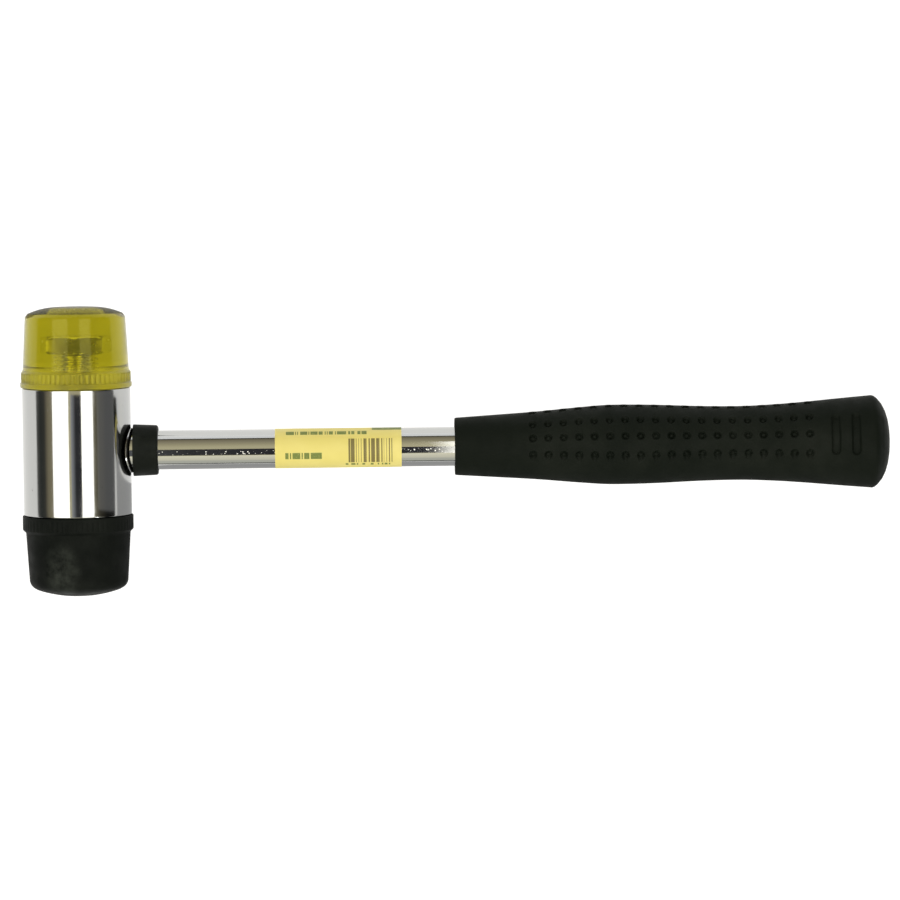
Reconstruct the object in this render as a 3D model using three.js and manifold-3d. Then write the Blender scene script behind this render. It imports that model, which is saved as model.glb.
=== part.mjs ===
import Module from 'manifold-3d';
import * as THREE from 'three';
import { mergeVertices } from 'three/addons/utils/BufferGeometryUtils.js';

// A mallet with a shot-filled steel head, one hard plastic face, one rubber face and a tubular handle.
// Lengths are millimetres. The head lies along Y and the handle along +X, and their axes cross at the
// mallet's own origin. The finished mallet is laid on its side so that it rests on z = 0.

const wasm = await Module();
wasm.setup();

// Driving dimensions of the head
const HEAD_RADIUS = 17.5;
const HEAD_WALL = 2;
const HEAD_HALF_LENGTH = 20.65;
const PLUG_RECESS = 2.5;
const PLUG_THICKNESS = 9;
const PLUG_FIT = 0.1;

// Driving dimensions of the two screw-on faces
const FACE_HEIGHT = 25.85;
const FACE_GAP = 0.1;
const RING_RADIUS = 18;
const LAND_RADIUS = 6.2;

// M10 bolt moulded into each face, with its split washer
const THREAD_RADIUS = 5;
const THREAD_ROOT = 4.08;
const THREAD_PITCH = 1.5;
const THREAD_FIT = 0.25;
const BOLT_ACROSS_FLATS = 14;
const BOLT_HEAD_THICKNESS = 5.6;
const BOLT_LENGTH = 20;
const BOLT_HEAD_DEPTH = 10.8;
const BOLT_FIT = 0.3;
const WASHER_OUTER_RADIUS = 9.05;
const WASHER_INNER_RADIUS = 5.3;
const WASHER_THICKNESS = 2.1;
const WASHER_SPLIT = 1.2;

// Steel shot in the head
const SHOT_RADIUS = 3;
const SHOT_SPACING = 6.15;
const SHOT_LAYERS = 2;

// Driving dimensions of the handle, measured along X from the head's axis
const TUBE_RADIUS = 6.35;
const TUBE_WALL = 1.2;
const TUBE_END = 256.4;
const SLIDE_FIT = 0.1;
const SADDLE_FIT = 0.3;
const WELD_LEG = 1;
const COLLAR_START = 18.2;
const COLLAR_END = 26.3;
const COLLAR_RADIUS = 8.4;
const COLLAR_END_RADIUS = 8.05;
const LABEL_START = 64.1;
const LABEL_END = 104.95;
const LABEL_THICKNESS = 0.15;
const GRIP_START = 122.2;
const GRIP_LENGTH = 141.2;
const GRIP_BUTT_STATION = 135.3;
const GRIP_BUTT_RADIUS = 15.05;
const GRIP_FLATNESS = 0.88;
const GRIP_END_WALL = 6;

// Facets round the axes
const HEAD_SIDES = 40;
const THREAD_SIDES = 16;
const HANDLE_SIDES = 32;

// Solid and mesh helpers

function solidOf(geometry) {
  const bare = geometry.clone();
  bare.deleteAttribute('normal');
  bare.deleteAttribute('uv');
  const merged = mergeVertices(bare);
  const corners = [];
  for (let i = 0; i < merged.index.count; i += 3) {
    const [a, b, c] = [0, 1, 2].map((k) => merged.index.getX(i + k));
    if (a !== b && b !== c && c !== a) corners.push(a, b, c);
  }
  return new wasm.Manifold(new wasm.Mesh({
    numProp: 3,
    vertProperties: new Float32Array(merged.attributes.position.array),
    triVerts: new Uint32Array(corners),
  }));
}

function geometryOf(solid) {
  const mesh = solid.getMesh();
  const geometry = new THREE.BufferGeometry();
  geometry.setAttribute('position', new THREE.BufferAttribute(mesh.vertProperties, 3));
  geometry.setIndex(new THREE.BufferAttribute(mesh.triVerts, 1));
  geometry.computeVertexNormals();
  return geometry;
}

function piece(name, solid, material) {
  const mesh = new THREE.Mesh(geometryOf(solid), material);
  mesh.name = name;
  return mesh;
}

function material(color, roughness, metalness) {
  return new THREE.MeshStandardMaterial({ color, roughness, metalness });
}

// Turns an outline of [radius, distance] points about the head's axis.
function headTurned(outline, sides = HEAD_SIDES) {
  const points = outline.map(([radius, along]) => new THREE.Vector2(radius, along));
  return new THREE.LatheGeometry(points, sides);
}

// Turns an outline of [distance, radius] points about the handle's axis.
function handleTurned(outline, sides = HANDLE_SIDES) {
  const points = outline.map(([along, radius]) => new THREE.Vector2(radius, along));
  return new THREE.LatheGeometry(points, sides).rotateZ(-Math.PI / 2);
}

function cylinderAlongHead(radius, low, high, sides = HEAD_SIDES) {
  return solidOf(headTurned([[0, low], [radius, low], [radius, high], [0, high]], sides));
}

// Points along a spline through a few [x, y] points.
function smooth(points, count) {
  const curve = new THREE.SplineCurve(points.map(([x, y]) => new THREE.Vector2(x, y)));
  return curve.getPoints(count).map((point) => [point.x, point.y]);
}

// Right-hand screw about Y: its rows climb one pitch a turn, so each row's last point meets the
// first point two rows up. A cone closes each end.
function screwGeometry(root, crest, start, turns) {
  const rows = 2 * turns;
  const position = [];
  for (let row = 0; row <= rows; row++) {
    for (let side = 0; side < THREAD_SIDES; side++) {
      const angle = (2 * Math.PI * side) / THREAD_SIDES;
      const radius = row % 2 ? crest : root;
      const height = start + THREAD_PITCH * (row / 2 + side / THREAD_SIDES);
      position.push(radius * Math.sin(angle), height, radius * Math.cos(angle));
    }
  }
  const at = (row, side) => (side < THREAD_SIDES ? row * THREAD_SIDES + side : (row + 2) * THREAD_SIDES);
  const index = [];
  for (let row = 0; row < rows; row++) {
    for (let side = 0; side < THREAD_SIDES; side++) {
      if (side === THREAD_SIDES - 1 && row > rows - 3) continue;
      const [a, b, c, d] = [at(row, side), at(row, side + 1), at(row + 1, side + 1), at(row + 1, side)];
      index.push(a, b, d, c, d, b);
    }
  }
  const lowRim = [at(0, 0), at(1, 0), at(2, 0)];
  const highRim = [];
  for (let side = 0; side < THREAD_SIDES; side++) {
    if (side > 0) lowRim.push(at(0, THREAD_SIDES - side));
    highRim.push(at(rows, side));
  }
  highRim.push(at(rows - 1, THREAD_SIDES - 1), at(rows - 2, THREAD_SIDES - 1));
  const lowTip = position.length / 3;
  position.push(0, start - THREAD_PITCH, 0);
  position.push(0, start + THREAD_PITCH * (turns + 2), 0);
  for (const [rim, tip] of [[lowRim, lowTip], [highRim, lowTip + 1]]) {
    rim.forEach((corner, i) => index.push(corner, rim[(i + 1) % rim.length], tip));
  }
  const geometry = new THREE.BufferGeometry();
  geometry.setAttribute('position', new THREE.Float32BufferAttribute(position, 3));
  geometry.setIndex(index);
  return geometry;
}

// The part of the screw between two heights, widened by a clearance. Every screw starts a whole number
// of pitches from the head's middle, so that a bolt is in mesh with its bore.
function screwBetween(low, high, clearance, lowChamfer) {
  const start = THREAD_PITCH * (Math.floor(low / THREAD_PITCH) - 2);
  const turns = Math.ceil((high - start) / THREAD_PITCH) + 2;
  const screw = solidOf(screwGeometry(THREAD_ROOT + clearance, THREAD_RADIUS + clearance, start, turns));
  const reach = THREAD_RADIUS + clearance + 0.2;
  const envelope = headTurned([
    [0, low],
    [reach - lowChamfer, low],
    [reach, low + lowChamfer],
    [reach, high],
    [0, high],
  ]);
  return screw.intersect(solidOf(envelope));
}

// Head. Each end is made on the +Y side, and turned about X for the other side.

const FACE_SEAT = HEAD_HALF_LENGTH + FACE_GAP;
const PLUG_TOP = HEAD_HALF_LENGTH - PLUG_RECESS;
const PLUG_BOTTOM = PLUG_TOP - PLUG_THICKNESS;
const BOLT_HEAD_LOW = FACE_SEAT + BOLT_HEAD_DEPTH;
const BOLT_TIP = BOLT_HEAD_LOW - BOLT_LENGTH;

function headHousing() {
  const inner = HEAD_RADIUS - HEAD_WALL;
  const edge = 0.4;
  const end = HEAD_HALF_LENGTH;
  return solidOf(headTurned([
    [inner, -end],
    [HEAD_RADIUS - edge, -end],
    [HEAD_RADIUS, edge - end],
    [HEAD_RADIUS, end - edge],
    [HEAD_RADIUS - edge, end],
    [inner, end],
    [inner, -end],
  ]));
}

function endPlug() {
  const radius = HEAD_RADIUS - HEAD_WALL - PLUG_FIT;
  const boreBottom = BOLT_TIP - 0.6;
  const disc = cylinderAlongHead(radius, PLUG_BOTTOM, PLUG_TOP);
  return disc.subtract(screwBetween(boreBottom, PLUG_TOP + 1, THREAD_FIT, 0));
}

function hexPrism(acrossFlats, low, high) {
  return cylinderAlongHead(acrossFlats / 2 / Math.cos(Math.PI / 6), low, high, 6);
}

function faceBolt() {
  const shank = screwBetween(BOLT_TIP, BOLT_HEAD_LOW + 1, 0, 1.1);
  return shank.add(hexPrism(BOLT_ACROSS_FLATS, BOLT_HEAD_LOW, BOLT_HEAD_LOW + BOLT_HEAD_THICKNESS));
}

function boltRoom() {
  const shank = cylinderAlongHead(THREAD_RADIUS + BOLT_FIT, FACE_SEAT - 1, BOLT_HEAD_LOW + 1, 24);
  const head = hexPrism(
    BOLT_ACROSS_FLATS + 2 * BOLT_FIT,
    BOLT_HEAD_LOW - BOLT_FIT,
    BOLT_HEAD_LOW + BOLT_HEAD_THICKNESS + BOLT_FIT,
  );
  return shank.add(head);
}

function splitWasher() {
  const low = PLUG_TOP + (PLUG_RECESS - WASHER_THICKNESS) / 2;
  const high = low + WASHER_THICKNESS;
  const ring = solidOf(headTurned([
    [WASHER_INNER_RADIUS, low],
    [WASHER_OUTER_RADIUS, low],
    [WASHER_OUTER_RADIUS, high],
    [WASHER_INNER_RADIUS, high],
    [WASHER_INNER_RADIUS, low],
  ], HANDLE_SIDES));
  const split = new THREE.BoxGeometry(WASHER_SPLIT, 3 * WASHER_THICKNESS, WASHER_OUTER_RADIUS);
  split.translate(0, (low + high) / 2, (WASHER_OUTER_RADIUS + WASHER_INNER_RADIUS) / 2);
  return ring.subtract(solidOf(split));
}

// A face is an outline of [radius, height above its seat] turned about the head, with room for its bolt.
function strikingFace(outline) {
  const raised = outline.map(([radius, height]) => [radius, FACE_SEAT + height]);
  return solidOf(headTurned(raised)).subtract(boltRoom());
}

function plasticFace() {
  return strikingFace([
    [0, 0],
    [RING_RADIUS - 0.4, 0],
    [RING_RADIUS, 0.4],
    [RING_RADIUS, 1.4],
    [RING_RADIUS - 0.3, 1.7],
    [RING_RADIUS - 0.3, 5],
    [RING_RADIUS - 0.8, 5.3],
    [RING_RADIUS - 1.75, FACE_HEIGHT - 3.4],
    [RING_RADIUS - 2, FACE_HEIGHT - 2.6],
    [RING_RADIUS - 2.6, FACE_HEIGHT - 2],
    [RING_RADIUS - 6.5, FACE_HEIGHT - 0.65],
    [LAND_RADIUS, FACE_HEIGHT],
    [0, FACE_HEIGHT],
  ]);
}

function rubberFace() {
  return strikingFace([
    [0, 0],
    [RING_RADIUS - 0.5, 0],
    [RING_RADIUS, 0.5],
    [RING_RADIUS, 4.6],
    [RING_RADIUS - 1.05, 5.6],
    [RING_RADIUS - 2, FACE_HEIGHT - 4.6],
    [RING_RADIUS - 2.7, FACE_HEIGHT - 2.7],
    [RING_RADIUS - 4.6, FACE_HEIGHT - 1.4],
    [RING_RADIUS - 8, FACE_HEIGHT - 0.5],
    [LAND_RADIUS, FACE_HEIGHT],
    [0, FACE_HEIGHT],
  ]);
}

function shotBall(index, position, steel) {
  const ball = piece(`shot_ball_${String(index).padStart(2, '0')}`, solidOf(
    new THREE.IcosahedronGeometry(SHOT_RADIUS, 1),
  ), steel);
  ball.position.copy(position);
  return ball;
}

// Every layer is one ball with rings of six and twelve round it.
function shotPositions() {
  const positions = [];
  for (let layer = 0; layer < SHOT_LAYERS; layer++) {
    const height = (layer - (SHOT_LAYERS - 1) / 2) * SHOT_SPACING;
    for (const ring of [0, 1, 2]) {
      const count = Math.max(1, 6 * ring);
      for (let i = 0; i < count; i++) {
        const angle = (2 * Math.PI * (i + layer / 2)) / count;
        const radius = ring * SHOT_SPACING;
        positions.push(new THREE.Vector3(radius * Math.sin(angle), height, radius * Math.cos(angle)));
      }
    }
  }
  return positions;
}

// Handle

function headClearance() {
  return cylinderAlongHead(HEAD_RADIUS + SADDLE_FIT, -HEAD_HALF_LENGTH, HEAD_HALF_LENGTH, 2 * HEAD_SIDES);
}

function sleeve(start, end, inner, outer) {
  return solidOf(handleTurned([[start, inner], [start, outer], [end, outer], [end, inner], [start, inner]]));
}

function handleTube() {
  const tube = sleeve(HEAD_RADIUS - 3, TUBE_END, TUBE_RADIUS - TUBE_WALL, TUBE_RADIUS);
  return tube.subtract(headClearance());
}

function handleWeld() {
  const inner = TUBE_RADIUS + SLIDE_FIT;
  const foot = HEAD_RADIUS - 3;
  const top = HEAD_RADIUS + SADDLE_FIT + WELD_LEG;
  const bead = solidOf(handleTurned([
    [foot, inner],
    [foot, inner + WELD_LEG],
    [top - 0.7, inner + WELD_LEG],
    [top, inner + 0.15],
    [top, inner],
    [foot, inner],
  ]));
  return bead.subtract(headClearance());
}

function handleCollar() {
  const bore = TUBE_RADIUS + SLIDE_FIT;
  const weldRoom = bore + WELD_LEG + 0.2;
  return solidOf(handleTurned([
    [COLLAR_START, weldRoom],
    [COLLAR_START, COLLAR_RADIUS],
    [COLLAR_END - 1, COLLAR_END_RADIUS],
    [COLLAR_END - 0.3, COLLAR_END_RADIUS - 0.3],
    [COLLAR_END, COLLAR_END_RADIUS - 1],
    [COLLAR_END, bore],
    [COLLAR_START + WELD_LEG + 0.5, bore],
    [COLLAR_START + WELD_LEG + 0.5, weldRoom],
    [COLLAR_START, weldRoom],
  ]));
}

function sizeLabel() {
  const inner = TUBE_RADIUS + SLIDE_FIT / 2;
  return sleeve(LABEL_START, LABEL_END, inner, inner + LABEL_THICKNESS);
}

// The grip's side seen from above: a swell for the fingers, a waist for the palm and a wide butt.
function gripOutline() {
  const side = smooth([
    [0, 9.3],
    [26, 11],
    [49, 12.9],
    [66, 12.7],
    [93, 12],
    [113, 13.1],
    [GRIP_BUTT_STATION, GRIP_BUTT_RADIUS],
  ], 18);
  const corner = new THREE.QuadraticBezierCurve(
    new THREE.Vector2(GRIP_BUTT_STATION, GRIP_BUTT_RADIUS),
    new THREE.Vector2(GRIP_LENGTH - 2.9, GRIP_BUTT_RADIUS - 0.5),
    new THREE.Vector2(GRIP_LENGTH - 0.8, GRIP_BUTT_RADIUS - 7.4),
  ).getPoints(4).slice(1).map((point) => [point.x, point.y]);
  return [...side, ...corner].map(([along, radius]) => [GRIP_START + along, radius]);
}

function gripSleeve() {
  const end = GRIP_START + GRIP_LENGTH;
  const body = handleTurned([[GRIP_START, 0], ...gripOutline(), [end, 0]]);
  body.scale(1, 1, GRIP_FLATNESS);
  const bore = handleTurned([
    [GRIP_START - 1, 0],
    [GRIP_START - 1, TUBE_RADIUS + SLIDE_FIT],
    [end - GRIP_END_WALL, TUBE_RADIUS + SLIDE_FIT],
    [end - GRIP_END_WALL, 0],
  ]);
  return solidOf(body).subtract(solidOf(bore));
}

function tubeEndPlug() {
  const stem = TUBE_RADIUS - TUBE_WALL - SLIDE_FIT;
  const brim = TUBE_END + SLIDE_FIT;
  return solidOf(handleTurned([
    [TUBE_END - 12, 0],
    [TUBE_END - 12, stem],
    [brim, stem],
    [brim, TUBE_RADIUS],
    [brim + 0.8, TUBE_RADIUS],
    [brim + 0.8, 0],
  ]));
}

// Assembly

const chrome = () => material('#c9cbcc', 0.15, 1);
const steel = () => material('#8d9092', 0.4, 1);
const zincSteel = () => material('#b3ab86', 0.35, 1);
const yellowPlastic = () => material('#a89c28', 0.25, 0);
const blackRubber = () => material('#1e211f', 0.75, 0);
const blackPlastic = () => material('#232524', 0.5, 0);
const yellowPaper = () => material('#f0e083', 0.7, 0);
const greyPlastic = () => material('#77797a', 0.6, 0);

// Both ends of the head hold the same pieces. The far end's are turned half a turn about X.
function headEnd(names, face, turn) {
  const end = new THREE.Group();
  end.rotation.x = turn;
  end.add(
    piece(names.plug, endPlug(), steel()),
    piece(names.washer, splitWasher(), zincSteel()),
    piece(names.bolt, faceBolt(), zincSteel()),
    face,
  );
  return end;
}

function mallet() {
  const group = new THREE.Group();
  group.add(
    piece('head_housing', headHousing(), chrome()),
    headEnd(
      { plug: 'plastic_end_plug', washer: 'plastic_face_washer', bolt: 'plastic_face_bolt' },
      piece('plastic_face', plasticFace(), yellowPlastic()),
      0,
    ),
    headEnd(
      { plug: 'rubber_end_plug', washer: 'rubber_face_washer', bolt: 'rubber_face_bolt' },
      piece('rubber_face', rubberFace(), blackRubber()),
      Math.PI,
    ),
    ...shotPositions().map((position, i) => shotBall(i + 1, position, steel())),
    piece('handle_tube', handleTube(), chrome()),
    piece('handle_weld', handleWeld(), chrome()),
    piece('handle_collar', handleCollar(), blackPlastic()),
    piece('size_label', sizeLabel(), yellowPaper()),
    piece('grip_sleeve', gripSleeve(), blackRubber()),
    piece('tube_end_plug', tubeEndPlug(), greyPlastic()),
  );
  return group;
}

// Lays the mallet down: its head's rings and its butt touch z = 0, and X and Y are centred.
function laidDown(group) {
  const reach = GRIP_START + GRIP_BUTT_STATION;
  const thickness = GRIP_BUTT_RADIUS * GRIP_FLATNESS;
  group.rotation.y = Math.asin(RING_RADIUS / Math.hypot(reach, thickness)) - Math.atan2(thickness, reach);
  group.updateMatrixWorld(true);
  const box = new THREE.Box3().setFromObject(group, true);
  const centre = box.getCenter(new THREE.Vector3());
  group.position.set(-centre.x, -centre.y, -box.min.z);
  const part = new THREE.Group();
  part.add(group);
  return part;
}

export default laidDown(mallet());
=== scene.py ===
import math

import bmesh
import bpy
from mathutils import Matrix, Vector, noise

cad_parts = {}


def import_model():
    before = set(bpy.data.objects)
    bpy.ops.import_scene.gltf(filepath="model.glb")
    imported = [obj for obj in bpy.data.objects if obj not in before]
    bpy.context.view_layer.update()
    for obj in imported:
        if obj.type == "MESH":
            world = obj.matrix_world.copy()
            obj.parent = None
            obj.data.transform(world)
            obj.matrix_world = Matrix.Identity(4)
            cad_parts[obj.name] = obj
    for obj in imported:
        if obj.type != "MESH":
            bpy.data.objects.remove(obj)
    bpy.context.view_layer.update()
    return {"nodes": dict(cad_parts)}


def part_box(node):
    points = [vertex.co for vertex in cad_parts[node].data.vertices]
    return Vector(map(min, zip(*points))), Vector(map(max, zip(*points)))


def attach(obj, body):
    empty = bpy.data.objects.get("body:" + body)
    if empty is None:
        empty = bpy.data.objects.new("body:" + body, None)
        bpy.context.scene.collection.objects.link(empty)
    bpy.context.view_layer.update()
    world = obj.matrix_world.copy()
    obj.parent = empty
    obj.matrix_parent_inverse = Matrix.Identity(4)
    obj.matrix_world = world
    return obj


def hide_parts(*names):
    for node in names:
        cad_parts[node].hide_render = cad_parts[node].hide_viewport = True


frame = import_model()

# The mallet lies on its side. Its pieces are drawn in millimetres in the mallet's own frame, where the
# head lies along Y, the handle along +X and their axes cross at the origin. LAID puts that frame in place.

MM = 0.001
TAU = 2 * math.pi

HEAD_RADIUS = 17.5
HEAD_BORE = 15.5
HEAD_HALF_LENGTH = 20.65
PLUG_TOP = 18.15
PLUG_BOTTOM = 9.15
PLUG_RADIUS = 15.4
FACE_SEAT = 20.75
FACE_HEIGHT = 25.85
RING_RADIUS = 18.0
RIDGES = 64

THREAD_RADIUS = 5.0
THREAD_ROOT = 4.08
THREAD_PITCH = 1.5
THREAD_FIT = 0.25
BOLT_TIP = 11.55
BOLT_HEAD_LOW = 31.55
BOLT_HEAD_TOP = 37.15
BOLT_FLAT = 7.0
BOLT_ROOM_BELOW = 0.6
WASHER_BORE = 5.3
WASHER_RADIUS = 9.05
WASHER_LOW = 18.35
WASHER_HIGH = 20.45
WASHER_SPLIT = 1.2

TUBE_RADIUS = 6.35
TUBE_BORE = 5.15
TUBE_END = 256.4
COLLAR_START = 18.2
COLLAR_END = 26.3
COLLAR_RADIUS = 8.4
COLLAR_END_RADIUS = 8.05
COLLAR_BORE = 6.42
COLLAR_SKIRT_BORE = 7.65
LABEL_START = 64.1
LABEL_END = 104.95
GRIP_START = 122.2
GRIP_LENGTH = 141.2
GRIP_BUTT_STATION = 135.3
GRIP_BUTT_RADIUS = 15.05
GRIP_FLATNESS = 0.88
GRIP_BORE_END = 257.4


def laid():
    """The mallet's own frame in the row frame: it rests on its ring lips and on its butt."""
    low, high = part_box("head_housing")
    centre = (Vector(low) + Vector(high)) / 2
    reach = GRIP_START + GRIP_BUTT_STATION
    thickness = GRIP_BUTT_RADIUS * GRIP_FLATNESS
    tilt = math.asin(RING_RADIUS / math.hypot(reach, thickness)) - math.atan2(thickness, reach)
    return Matrix.Translation(centre) @ Matrix.Rotation(tilt, 4, "Y")


LAID = laid()
FAR_END = Matrix.Rotation(math.pi, 4, "X")


# Mesh helpers


def rounded(points, radii, steps=5):
    """An outline whose corners, where radii gives one, are arcs."""
    made = []
    for i, (point, radius) in enumerate(zip(points, radii)):
        if not radius:
            made.append(point)
            continue
        here = Vector(point)
        before = Vector(points[i - 1]) - here
        after = Vector(points[i + 1]) - here
        half = before.angle(after) / 2
        reach = min(radius / math.tan(half), 0.49 * before.length, 0.49 * after.length)
        radius = reach * math.tan(half)
        middle = here + (before.normalized() + after.normalized()).normalized() * radius / math.sin(half)
        start = here + before.normalized() * reach - middle
        end = here + after.normalized() * reach - middle
        for step in range(steps + 1):
            made.append(tuple(middle + start.slerp(end, step / steps) * radius))
    return made


def spread(points, step):
    """The same outline with long stretches cut into pieces no longer than step."""
    made = [points[0]]
    for a, b in zip(points, points[1:]):
        count = max(1, math.ceil(math.dist(a, b) / step))
        for i in range(1, count + 1):
            made.append(tuple(Vector(a).lerp(Vector(b), i / count)))
    return made


def add_piece(name, vertices, faces, body, nodes, material, matrix=None, sharp=40):
    """A closed mesh in the mallet's frame that rides on a body and stands for CAD nodes."""
    mesh = bpy.data.meshes.new(name)
    mesh.from_pydata([tuple(c * MM for c in v) for v in vertices], [], faces)
    work = bmesh.new()
    work.from_mesh(mesh)
    bmesh.ops.remove_doubles(work, verts=work.verts, dist=1e-7)
    bmesh.ops.recalc_face_normals(work, faces=work.faces)
    bmesh.ops.transform(work, matrix=LAID @ matrix if matrix else LAID, verts=work.verts)
    for face in work.faces:
        face.smooth = True
    work.to_mesh(mesh)
    work.free()
    mesh.set_sharp_from_angle(angle=math.radians(sharp))
    mesh.materials.append(material)
    piece = bpy.data.objects.new(name, mesh)
    bpy.context.scene.collection.objects.link(piece)
    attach(piece, body)
    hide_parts(*nodes)
    return piece


def turned(outline, sides, axis="Y", shape=None):
    """Vertices and faces of an outline of (radius, distance) points turned about an axis.
    shape(radius, distance, angle, index) may give each point its own place."""
    vertices, faces, rows = [], [], []
    closed = outline[0] == outline[-1]
    for index, (radius, distance) in enumerate(outline[:-1] if closed else outline):
        row = []
        for side in range(sides if radius > 1e-6 else 1):
            angle = TAU * side / sides
            r, d = shape(radius, distance, angle, index) if shape else (radius, distance)
            across, up = r * math.sin(angle), r * math.cos(angle)
            row.append(len(vertices))
            vertices.append((across, d, up) if axis == "Y" else (d, across, up))
        rows.append(row)
    pairs = list(zip(rows, rows[1:])) + ([(rows[-1], rows[0])] if closed else [])
    for low, high in pairs:
        for side in range(sides):
            corners = [low[side % len(low)], low[(side + 1) % sides % len(low)]]
            corners += [high[(side + 1) % sides % len(high)], high[side % len(high)]]
            corners = list(dict.fromkeys(corners))
            if len(corners) > 2:
                faces.append(corners)
    return vertices, faces


def ease(value):
    """0 to 1, smooth at both ends."""
    value = min(1.0, max(0.0, value))
    return value * value * (3 - 2 * value)


# Node helpers


def new_material(name):
    """A material with one Principled shader, and the shader."""
    material = bpy.data.materials.new(name)
    material.use_nodes = True
    nodes = material.node_tree.nodes
    nodes.clear()
    output = nodes.new("ShaderNodeOutputMaterial")
    shader = nodes.new("ShaderNodeBsdfPrincipled")
    material.node_tree.links.new(shader.outputs[0], output.inputs[0])
    return material, shader


class Nodes:
    """Short ways to add nodes to one material."""

    def __init__(self, material, laid_down=True):
        self.tree = material.node_tree
        self.place = self.add("ShaderNodeTexCoord").outputs["Object"]
        if laid_down:
            self.place = self.own_frame()

    def add(self, kind, **settings):
        node = self.tree.nodes.new(kind)
        for key, value in settings.items():
            setattr(node, key, value)
        return node

    def link(self, source, target):
        self.tree.links.new(source, target)

    def feed(self, socket, value):
        """Gives a socket a number, a colour or another node's output."""
        if isinstance(value, (int, float, tuple)):
            socket.default_value = value
        else:
            self.link(value, socket)

    def own_frame(self):
        """Coordinates in the mallet's own frame, in metres."""
        back = LAID.inverted()
        mapping = self.add("ShaderNodeMapping")
        mapping.inputs["Location"].default_value = back.to_translation()
        mapping.inputs["Rotation"].default_value = back.to_euler()
        self.link(self.place, mapping.inputs["Vector"])
        return mapping.outputs[0]

    def scaled(self, x, y, z):
        """Object coordinates, stretched: a small factor makes a pattern long that way."""
        mapping = self.add("ShaderNodeMapping")
        mapping.inputs["Scale"].default_value = (x, y, z)
        self.link(self.place, mapping.inputs["Vector"])
        return mapping.outputs[0]

    def noise(self, scale, detail=2.0, rough=0.5, vector=None):
        node = self.add("ShaderNodeTexNoise")
        node.inputs["Scale"].default_value = scale
        node.inputs["Detail"].default_value = detail
        node.inputs["Roughness"].default_value = rough
        self.link(vector or self.place, node.inputs["Vector"])
        return node.outputs["Fac"]

    def spots(self, scale):
        """Distance to the nearest of many scattered points."""
        node = self.add("ShaderNodeTexVoronoi")
        node.inputs["Scale"].default_value = scale
        self.link(self.place, node.inputs["Vector"])
        return node.outputs["Distance"]

    def span(self, value, low, high, to_low=0.0, to_high=1.0):
        """A value from low to high, stretched to run from to_low to to_high and held there beyond."""
        node = self.add("ShaderNodeMapRange")
        self.feed(node.inputs["Value"], value)
        for name, number in (("From Min", low), ("From Max", high), ("To Min", to_low), ("To Max", to_high)):
            node.inputs[name].default_value = number
        return node.outputs["Result"]

    def math(self, operation, a, b=0.0, c=0.0):
        node = self.add("ShaderNodeMath", operation=operation)
        for socket, value in zip(node.inputs, (a, b, c)):
            self.feed(socket, value)
        return node.outputs[0]

    def mix(self, factor, a, b):
        node = self.add("ShaderNodeMix", data_type="RGBA")
        self.feed(node.inputs[0], factor)
        self.feed(node.inputs[6], a)
        self.feed(node.inputs[7], b)
        return node.outputs[2]

    def axes(self):
        """The three coordinates, each as a value."""
        node = self.add("ShaderNodeSeparateXYZ")
        self.link(self.place, node.inputs[0])
        return node.outputs

    def bump(self, shader, height, strength, distance, below=None):
        """Relief for a shader, on top of another relief if one is given."""
        node = self.add("ShaderNodeBump")
        node.inputs["Strength"].default_value = strength
        node.inputs["Distance"].default_value = distance
        self.link(height, node.inputs["Height"])
        if below is not None:
            self.link(below, node.inputs["Normal"])
        self.link(node.outputs[0], shader.inputs["Normal"])
        return node.outputs[0]


# Materials

# Where the strip of painted glints runs on the tube, the dark tone of scattered pits and the pale tone of the
# painted glint specks.
GLINT_STRIP_MIDDLE = 0.75 * MM
PIT_TONE = 0.22
GLINT_SPECK_TONE = 0.75


def pits(n):
    """Small dull pits, few and far between."""
    spots = n.span(n.spots(420), 0.05, 0.14, 1, 0)
    return n.math("MULTIPLY", spots, n.span(n.noise(150, 2), 0.56, 0.66))


def glint_specks(n):
    """Larger dull pits, close together in one strip along the top of the tube where its dark reflected line
    falls; their pale tone makes them painted glints.
    """
    _, y, z = n.axes()
    spots = n.span(n.spots(1050), 0.16, 0.34, 1, 0)
    beside = n.math("ABSOLUTE", n.math("ADD", y, GLINT_STRIP_MIDDLE))
    strip = n.math("MULTIPLY", n.span(beside, 0.45 * MM, 0.7 * MM, 1, 0), n.math("GREATER_THAN", z, 0))
    few = n.math("MULTIPLY", strip, n.span(n.noise(300, 2), 0.36, 0.46))
    return n.math("MULTIPLY", spots, few)


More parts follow.
